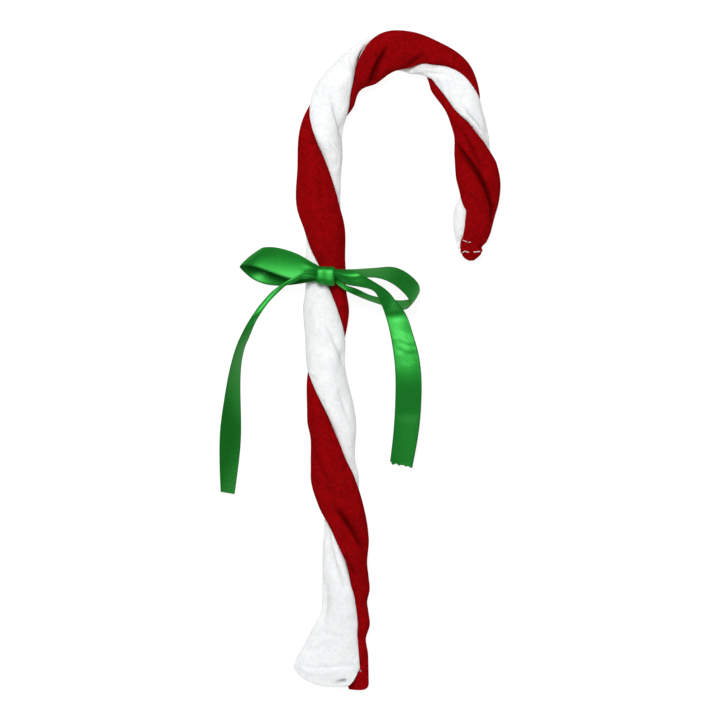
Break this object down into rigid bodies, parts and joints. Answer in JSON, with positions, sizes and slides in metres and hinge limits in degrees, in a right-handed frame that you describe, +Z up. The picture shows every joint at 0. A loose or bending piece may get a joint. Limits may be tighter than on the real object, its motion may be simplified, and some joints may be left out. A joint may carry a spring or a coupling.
{
  "type": "stuffed felt candy cane decoration",
  "caption": "Soft felt candy cane: stuffed red and white strands twisted together and bent to a crook, with a satin ribbon bow tied round the shaft.",
  "frame": {"origin": "on the surface the cane lies on, below the middle of its outline", "axes": "+Y from the foot to the top of the crook, +X to the crook's open side, +Z up from the surface to the shown side"},
  "size_m": [0.1968, 0.4618, 0.0429],
  "materials": {
    "red_felt": "matt, mottled wool-like felt with a soft nap",
    "white_felt": "matt white felt with a soft nap",
    "green_satin": "glossy satin ribbon with fine threads across and firm edges"
  },
  "bodies": {
    "root": {"red_strand": "red_felt", "white_strand": "white_felt", "ribbon_bow": "green_satin"}
  },
  "joints": []
}
